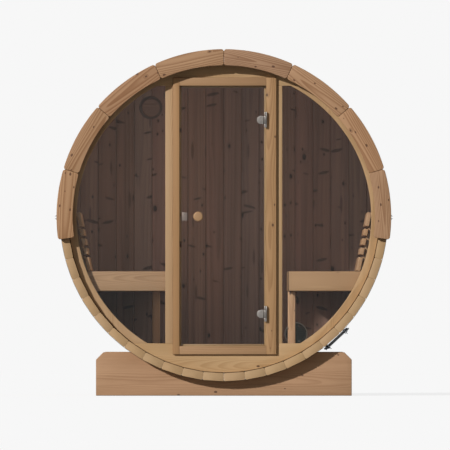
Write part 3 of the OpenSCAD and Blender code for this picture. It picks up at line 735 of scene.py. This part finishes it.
mirrored = add(tree, "ShaderNodeMath", {0: rise, 1: 1 - head_on, 2: head_on}, operation="MULTIPLY_ADD")
glazed = add(tree, "ShaderNodeMixShader", {0: mirrored, 1: through, 2: mirror})
plug(tree.nodes["Material Output"], {"Surface": glazed})
coat(clear_glass, "window_glass_left", "window_glass_right", "door_glass")

# --------------------------------------------------------------------------------- Door frame
# Four planed spruce rails and stiles, rebated for the glass door. The frame is fixed between
# the posts and stands a little proud of the wall.

# Slightly redder spruce than the wall
frame_wood = timber("planed_spruce_door_frame", "#ad8760", "#8e6a47", "#40261a", knots=0.12, pins=0.45)
frame_parts = {"door_stile_latch": "door_frame_latch_stile", "door_stile_hinge": "door_frame_hinge_stile",
               "door_rail_head": "door_frame_head", "door_rail_sill": "door_frame_sill"}
for name, node in frame_parts.items():
    part = dressed(name, node, frame_wood, edge=0.0015)
    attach(part, "cabin")

# ---------------------------------------------------------------------------------- Door leaf
# A single pane of toughened glass with a wooden knob on each side. A catch plate on the glass
# keeps it closed, and it swings on two clamped hinges.

glass_low, glass_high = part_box("door_glass")


def middle_of(node):
    """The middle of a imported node's box, as it is seen from the front."""
    low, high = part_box(node)
    return (low.x + high.x) / 2, (low.z + high.z) / 2


# Turned birch, oiled, a lighter and smoother wood than the spruce
knob_wood = timber("turned_birch_knob", "#a9855e", "#8b6845", "#5a3d28", ring=0.004, bands=0.4,
                   streaks=0.3, knots=0.0, pins=0.0, rough=0.45)
knob_low, knob_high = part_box("door_knobs")
knob_r = (knob_high.x - knob_low.x) / 2
neck_foot_r, neck_r, neck_len = 0.0165, 0.014, 0.009
knob_rim = 0.009       # radius that the edge of the head is rounded to
knob_dome = 0.0015     # height of the head's domed face


def knob_profile(seat, tip):
    """Neck, rounded rim and a slightly domed face, from the glass outwards."""
    way = 1 if tip > seat else -1
    depth = abs(tip - seat)
    points = [(0, seat), (neck_foot_r, seat), (neck_foot_r - 0.001, seat + way * neck_len / 3),
              (neck_r, seat + way * neck_len)]
    quarter = [math.pi / 2 * k / 6 for k in range(7)]
    for a in quarter:
        points.append((knob_r - knob_rim + knob_rim * math.sin(a),
                       seat + way * (neck_len + knob_rim - knob_rim * math.cos(a))))
    for a in quarter:
        points.append((knob_r - knob_rim + knob_rim * math.cos(a),
                       seat + way * (depth - knob_dome - knob_rim + knob_rim * math.sin(a))))
    return points + [(knob_r * 0.35, seat + way * (depth - knob_dome / 5)), (0, seat + way * depth)]


bm = bmesh.new()
for seat, tip in ((glass_low.y, knob_low.y), (glass_high.y, knob_high.y)):
    turned(bm, knob_profile(seat, tip), 64, middle_of("door_knobs"))
knobs = made("knob_pair", bm, knob_wood, flat_over=45)
record_grain(knobs, lie=lambda middle: ((0, 1, 0), (1, 0, 0), (0, 0, 1)))
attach(knobs, "door")
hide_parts("door_knobs")

# Satin stainless steel, brushed
satin_steel = metal("satin_stainless_steel", "#837e79", 0.36, 0.002)
clamps = dressed("glass_clamps", "hinge_clamps", satin_steel, edge=0.0018, segments=3)
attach(clamps, "door")

# The fixed half is cast with square knuckles above and below the clamp, and stands off the stile
leaf_low, leaf_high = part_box("hinge_leaves")
clamp_low, clamp_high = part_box("hinge_clamps")
leaf_t = 0.003
knuckle_front = leaf_low.y - 0.005
knuckle_back = leaf_low.y + 0.012
clamp_fit = 0.0005
clamp_h = 0.051
end_h = clamp_low.z - leaf_low.z - clamp_fit
hinge_h = clamp_h + 2 * (clamp_low.z - leaf_low.z)
root_x = leaf_high.x - leaf_t
upright = [(root_x, knuckle_front), (leaf_high.x, knuckle_front), (leaf_high.x, leaf_high.y),
           (root_x, leaf_high.y)]
knuckle = [(leaf_low.x, knuckle_front), (root_x, knuckle_front), (root_x, knuckle_back),
           (leaf_low.x, knuckle_back)]
bm = bmesh.new()
for foot in (leaf_low.z, leaf_high.z - hinge_h):
    for outline, z, height in ((upright, foot, hinge_h), (knuckle, foot, end_h),
                               (knuckle, foot + hinge_h - end_h, end_h)):
        bar(bm, [(x, y, z) for x, y in outline], (0, 0, height))
ease(bm, 0.0012)
leaves = made("hinge_leaf_plates", bm, satin_steel)
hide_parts("hinge_leaves")
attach(leaves, "cabin")

# Anodised aluminium plate, duller than the hinges
catch_metal = metal("anodised_aluminium_catch", "#746962", 0.5, 0.003)
catch = dressed("catch_plate", "door_catch_plate", catch_metal, edge=0.001, segments=3)
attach(catch, "door")

# Pan-head screws with a small dimple, two on the catch plate and two larger ones on each clamp
screw_r, screw_h = 0.0035, 0.0016
screw_side = 0.0006    # height of the head's straight side
dimple = 0.0009        # height of the dimple's floor
clamp_mid = clamp_h / 2
clamp_t = 0.004        # of the half in front of the glass
clamp_screws = 0.012   # from the clamp's middle
catch_screws = 0.017   # from the plate's middle
bm = bmesh.new()
turned(bm, [(0, 0), (screw_r, 0), (screw_r, -screw_side), (screw_r * 0.8, -screw_h),
            (screw_r * 0.3, -screw_h), (0, -dimple)], 16)
screw = made("screw", bm, satin_steel)
catch_x, catch_z = middle_of("door_catch_plate")
catch_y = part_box("door_catch_plate")[0].y
places = [((catch_x, catch_y, catch_z + dz), (0, 0, 0), (1, 1, 1)) for dz in (-catch_screws, catch_screws)]
for z in (clamp_low.z + clamp_mid, clamp_high.z - clamp_mid):
    places += [((clamp_low.x + clamp_mid, glass_low.y - clamp_t, z + dz), (0, 0, 0), (1.3, 1, 1.3))
               for dz in (-clamp_screws, clamp_screws)]
screws = repeat("fitting_screws", screw, places, satin_steel)
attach(screws, "door")

# ----------------------------------------------------------------------- Back wall and lining
# Vertical boards close the back: pale spruce outside and a dark heat-treated lining inside,
# both with a V at every joint, cut to the curve of the staves and bored for the two vents.

board_w = 0.113
board_seam = -0.228    # one seam of the lining; the outer boards lie half a board over
board_vee = 0.004
board_joint = 0.0004   # half the gap between two boards
board_reach = 1.0      # up and down from the axis, before they are cut round
lining_low, lining_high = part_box("back_lining")
wall_low, wall_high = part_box("back_wall")
inside_r = (lining_high.x - lining_low.x) / 2
vents = middle_of("vent_valve"), middle_of("vent_grille")
duct_r = 0.050


def cut(piece, cutters, operation):
    """Cuts a piece with other solids."""
    for cutter in cutters:
        modifier = piece.modifiers.new("cut", "BOOLEAN")
        modifier.object = cutter
        modifier.operation = operation
        modifier.solver = "EXACT"
    settle(piece)
    for cutter in cutters:
        bpy.data.objects.remove(cutter)


def drum(centre, radius, y0, y1, segments):
    """A plain round cutter along Y."""
    bm = bmesh.new()
    turned(bm, [(0, y0), (radius, y0), (radius, y1), (0, y1)], segments, centre)
    return made("cutter", bm, wall_wood)


def round_boarding(name, node, away, face, finish, seam):
    """Vertical boards with a V along the edges of their shown face, cut to a round wall.

    away and face are the places along Y of the hidden side and of the shown one.
    """
    bevel_y = face - math.copysign(board_vee, face - away)
    bm = bmesh.new()
    first = math.floor((-inside_r - seam) / board_w)
    last = math.ceil((inside_r - seam) / board_w)
    for i in range(first, last):
        x0, x1 = seam + i * board_w + board_joint, seam + (i + 1) * board_w - board_joint
        outline = [(x0, away), (x0, bevel_y), (x0 + board_vee, face), (x1 - board_vee, face),
                   (x1, bevel_y), (x1, away)]
        bar(bm, [(x, y, axis_z - board_reach) for x, y in outline], (0, 0, 2 * board_reach))
    boards = made(name, bm, finish)
    spare = 0.01    # that the cutters stand out by
    y0, y1 = min(away, face) - spare, max(away, face) + spare
    cut(boards, [drum((0, axis_z), inside_r, y0, y1, 288)], "INTERSECT")
    cut(boards, [drum(centre, duct_r, y0, y1, 48) for centre in vents], "DIFFERENCE")
    shade(boards.data, finish, 20)
    record_grain(boards, lie=lambda middle: ((0, 0, 1), (1, 0, 0), (0, 1, 0)))
    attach(boards, "cabin")
    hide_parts(node)
    return boards


# Heat-treated spruce: cocoa brown with a grey-violet cast, dark knots with streaks
lining_wood = timber("heat_treated_spruce_lining", "#87675a", "#584136", "#140d0b", ring=0.016, bands=0.25,
                     streaks=0.7, fibres=0.08, knots=0.25, pins=0.3, spikes=0.05, vary=0.10, rough=0.6)
lining = round_boarding("lining_boards", "back_lining", lining_high.y, lining_low.y, lining_wood, board_seam)
outer_boards = round_boarding("back_wall_boards", "back_wall", wall_low.y, wall_high.y, stave_wood,
                              board_seam + board_w / 2)

# -------------------------------------------------------------------------------------- Vents
# Above, a turned wooden valve stands off the lining on its screw. Below, a round black louvre
# in a grey flange lets fresh air in. Both ducts end in a louvre outside.

valve_low, valve_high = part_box("vent_valve")
grille_low, grille_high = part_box("vent_grille")
cover_r = (grille_high.x - grille_low.x) / 2
plate_r = cover_r + 0.008      # of the valve's dark ring of painted shade and of the flange round the louvre
inside_y, outside_y = lining_low.y, wall_high.y

# Heat-treated wood, turned and oiled
valve_wood = timber("turned_heat_treated_valve", "#8b6c5e", "#5c453a", "#1f1613", ring=0.007, knots=0.0,
                    pins=0.0, rough=0.5)
disc_r = cover_r - 0.008
disc_front, disc_back = valve_low.y, inside_y - 0.009
boss_r = 0.020         # behind the disc, round its screw
button_r = 0.013       # in the middle of its face
disc_points = [(0, 0.001), (button_r - 0.002, 0), (button_r, 0.003), (disc_r - 0.017, 0.004),
               (disc_r - 0.004, 0.005), (disc_r, 0.009)]


def level_grain(middle):
    """The grain of a disc that faces the room, level from side to side."""
    return (1, 0, 0), (0, 0, 1), (0, 1, 0)


bm = bmesh.new()
turned(bm, [(r, disc_front + y) for r, y in disc_points] + [
    (disc_r - 0.001, disc_back), (boss_r, disc_back), (boss_r, inside_y), (0, inside_y)], 64, vents[0])
valve = made("vent_valve_disc", bm, valve_wood, flat_over=40)
record_grain(valve, lie=level_grain)
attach(valve, "cabin")
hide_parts("vent_valve")

# A flat dark brown ring on the lining round the disc is painted shade: it stands for the shadow that the disc
# throws on the lining
valve_shade_ring_wood = timber("charred_valve_seat", "#5a4942", "#463731", "#15100e", ring=0.007, knots=0.0,
                   pins=0.0, rough=0.6)


def flat_ring(name, inner_r, thickness, edge, centre, finish):
    """A flat ring on the lining, with a sloping outer edge."""
    front_y = inside_y - thickness
    bm = bmesh.new()
    turned(bm, [(inner_r, inside_y), (inner_r, front_y), (plate_r - edge, front_y), (plate_r, front_y + edge),
                (plate_r, inside_y), (inner_r, inside_y)], 64, centre)
    return made(name, bm, finish, flat_over=40)


# The ring of painted shade round the valve disc
seat = flat_ring("vent_valve_seat", plate_r - 0.030, 0.004, 0.002, vents[0], valve_shade_ring_wood)
record_grain(seat, lie=level_grain)
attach(seat, "cabin")


def moulded(name, clean, dusty):
    """Moulded plastic, slightly glossy, duller and paler where dust has settled."""
    material, tree, shader = blank(name)
    place = add(tree, "ShaderNodeTexCoord").outputs["Object"]
    dust = add(tree, "ShaderNodeTexNoise", {"Vector": place, "Scale": 60.0, "Detail": 4.0})
    film = add(tree, "ShaderNodeValToRGB", {0: dust})
    film.color_ramp.elements[0].color = tint(clean)
    film.color_ramp.elements[1].color = tint(dusty)
    sheen = add(tree, "ShaderNodeMapRange", {"Value": dust, "To Min": 0.35, "To Max": 0.6})
    plug(shader, {"Base Color": film, "Roughness": sheen})
    return material


# Black moulded plastic
vent_plastic = moulded("black_moulded_vent_plastic", "#1e2221", "#444a46")
ring_w = 0.009
slat_pitch, slat_t = 0.0125, 0.0016
slat_drop = 0.0055     # of its edge at the face below the middle, and of the other one above it
slat_reach = 0.42      # of the louvre's depth, to each side of the middle
slat_numbers = range(-4, 5)


def louvre(name, centre, seat, face):
    """A round louvre between its seat on the wall and its face: a rounded ring and sloping slats."""
    depth = face - seat
    bore = cover_r - ring_w
    bm = bmesh.new()
    turned(bm, [(bore, seat), (cover_r, seat), (cover_r - 0.0008, seat + depth * 0.6),
                (cover_r - 0.003, face), (bore + 0.002, face), (bore, seat + depth * 0.7), (bore, seat)],
           64, centre)
    ring = made(f"{name}_ring", bm, vent_plastic, flat_over=40)
    # One slat, a metre wide until it is fitted to the bore
    bm = bmesh.new()
    y = depth * slat_reach
    bar(bm, [(-0.5, y, -slat_drop), (-0.5, y, -slat_drop + slat_t), (-0.5, -y, slat_drop + slat_t),
             (-0.5, -y, slat_drop)], (1, 0, 0))
    slat = made("slat", bm, vent_plastic)
    places = []
    for number in slat_numbers:
        height = number * slat_pitch
        width = 2 * math.sqrt((bore + 0.001) ** 2 - (abs(height) + 0.005) ** 2)
        places.append(((centre[0], (seat + face) / 2, centre[1] + height - slat_t / 2), (0, 0, 0),
                       (width, 1, 1)))
    slats = repeat(f"{name}_slats", slat, places, vent_plastic)
    for piece in (ring, slats):
        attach(piece, "cabin")
    return ring


inner_louvre = louvre("inner_louvre", vents[1], inside_y, grille_low.y)
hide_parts("vent_grille")
louvre("outer_louvre_low", vents[1], outside_y, grille_high.y)
louvre("outer_louvre_high", vents[0], outside_y, valve_high.y)

# Indoors the louvre is clipped into a flat flange of warm grey plastic
flange_plastic = moulded("grey_moulded_flange_plastic", "#8a817a", "#a69d96")
flange = flat_ring("inner_louvre_flange", cover_r + 0.0003, 0.0025, 0.001, vents[1], flange_plastic)
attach(flange, "cabin")

# A plastic tube lines each bore from face to face
duct_out, duct_in = duct_r - 0.0003, duct_r - 0.0032
bm = bmesh.new()
for centre in vents:
    turned(bm, [(duct_in, inside_y), (duct_out, inside_y), (duct_out, outside_y), (duct_in, outside_y),
                (duct_in, inside_y)], 48, centre)
ducts = made("vent_ducts", bm, vent_plastic)
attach(ducts, "cabin")

# -------------------------------------------------------------------------------------- Floor
# Loose-laid spruce boards on three cross joists. The joists are cut to the curve of the staves
# and rest on them.

joists = dressed("floor_cross_joists", "floor_joists", stave_wood, edge=0.0015)
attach(joists, "cabin")

# Untreated spruce, worn by feet to a softer gloss
bench_wood = timber("planed_spruce_benches", "#b98f6c", "#956c4b", "#4a2f1e", bands=0.45, streaks=0.35,
                    knots=0.08, rough=0.6)
floor_planks = dressed("floor_planks", "floor_boards", bench_wood, edge=0.003, segments=3)
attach(floor_planks, "cabin")

# ---------------------------------------------------------------------- Benches and backrests
# Slatted seats on both sides, framed by deep boards on square legs, with slatted backrests that
# lean on shaped brackets. Every board is planed with rounded edges.

bench_parts = {"bench_boards_left": "bench_frame_left", "bench_boards_right": "bench_frame_right",
               "bench_square_legs": "bench_legs", "seat_slats_left": "bench_seat_left",
               "seat_slats_right": "bench_seat_right", "backrest_shaped_brackets": "backrest_brackets",
               "backrest_slats_left": "backrest_left", "backrest_slats_right": "backrest_right"}
for name, node in bench_parts.items():
    part = dressed(name, node, bench_wood, edge=0.003, segments=3)
    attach(part, "cabin")

# ------------------------------------------------------------------------------------- Studio
# A pale floor and a plain white surround, a crisp key light from the upper left and an even
# sky. A soft panel stands in for the daylight that the glazing lets in.

white = tint("#f7f7f7")
key_strength = 3.3
sky_strength = 0.22
key_way = Vector((0.84, 1.0, -0.58)).normalized()

key_data = bpy.data.lights.new("key_light", "SUN")
key_data.energy = key_strength
key_data.angle = math.radians(2.0)
key = bpy.data.objects.new("key_light", key_data)
key.rotation_mode = "QUATERNION"
key.rotation_quaternion = key_way.to_track_quat("-Z", "Y")
scene.collection.objects.link(key)

# The panel stands just behind the glazing, above the benches, and shines inwards
fill_data = bpy.data.lights.new("daylight_through_glazing", "AREA")
fill_data.shape = "RECTANGLE"
fill_data.size, fill_data.size_y = 1.2, 0.8
fill_data.energy = 5.2
fill = bpy.data.objects.new("daylight_through_glazing", fill_data)
fill.location = (-0.1, -0.72, 1.2)
fill.rotation_euler = (math.pi / 2, 0, 0)
fill.visible_camera = fill.visible_glossy = fill.visible_transmission = False
scene.collection.objects.link(fill)


def seen_share(tree):
    """1 for a ray from the eye, also by way of a mirror or a pane, and 0 for one that only lights."""
    rays = add(tree, "ShaderNodeLightPath")
    seen = 0.0
    for ray in ("Is Camera Ray", "Is Glossy Ray", "Is Transmission Ray"):
        seen = add(tree, "ShaderNodeMath", {0: seen, 1: rays.outputs[ray]}, operation="MAXIMUM")
    return seen


world = bpy.data.worlds.new("studio")
world.use_nodes = True
scene.world = world
tree = world.node_tree
sky = tree.nodes["Background"]
plug(sky, {"Color": (1, 1, 1, 1), "Strength": sky_strength})
surround = add(tree, "ShaderNodeBackground", {"Color": white, "Strength": 1.0})
both = add(tree, "ShaderNodeMixShader", {0: seen_share(tree), 1: sky, 2: surround})
plug(tree.nodes["World Output"], {"Surface": both})

# The floor lights the object as a grey floor would. The eye sees it white, with a pale shadow
floor_grey = 0.28
shadow_grey = 0.2
floor_light = key_strength * -key_way.z / math.pi + sky_strength
floor_white, tree, shader = blank("white_studio_floor")
tree.nodes.remove(shader)
matt = add(tree, "ShaderNodeBsdfDiffuse", {"Color": (shadow_grey, shadow_grey, shadow_grey, 1)})
glow = add(tree, "ShaderNodeEmission", {"Color": (1, 1, 1, 1),
                                        "Strength": white[0] - shadow_grey * floor_light})
shown = add(tree, "ShaderNodeAddShader", {0: matt, 1: glow})
grey = add(tree, "ShaderNodeBsdfDiffuse", {"Color": (floor_grey, floor_grey, floor_grey, 1)})
both = add(tree, "ShaderNodeMixShader", {0: seen_share(tree), 1: grey, 2: shown})
plug(tree.nodes["Material Output"], {"Surface": both})
half_floor = 40.0
corners = [(-half_floor, -half_floor), (half_floor, -half_floor), (half_floor, half_floor),
           (-half_floor, half_floor)]
bm = bmesh.new()
bm.faces.new([bm.verts.new((x, y, 0)) for x, y in corners])
studio_floor = made("studio_floor", bm, floor_white)

scene.view_settings.view_transform = "Standard"

# Seen from the front and low down, from so far that it is nearly without perspective
view_width = 2.79
distance = 100.0
eye_x, eye_z = 0.007, 0.45
middle_z = 1.059
camera_data = bpy.data.cameras.new("camera")
camera_data.sensor_width = 36.0
camera_data.lens = camera_data.sensor_width * distance / view_width
camera_data.clip_end = 300.0
camera = bpy.data.objects.new("camera", camera_data)
camera.location = (eye_x, fascia_low.y - distance, eye_z)
camera.rotation_euler = (math.pi / 2 + math.atan((middle_z - eye_z) / distance), 0, 0)
scene.collection.objects.link(camera)
scene.camera = camera
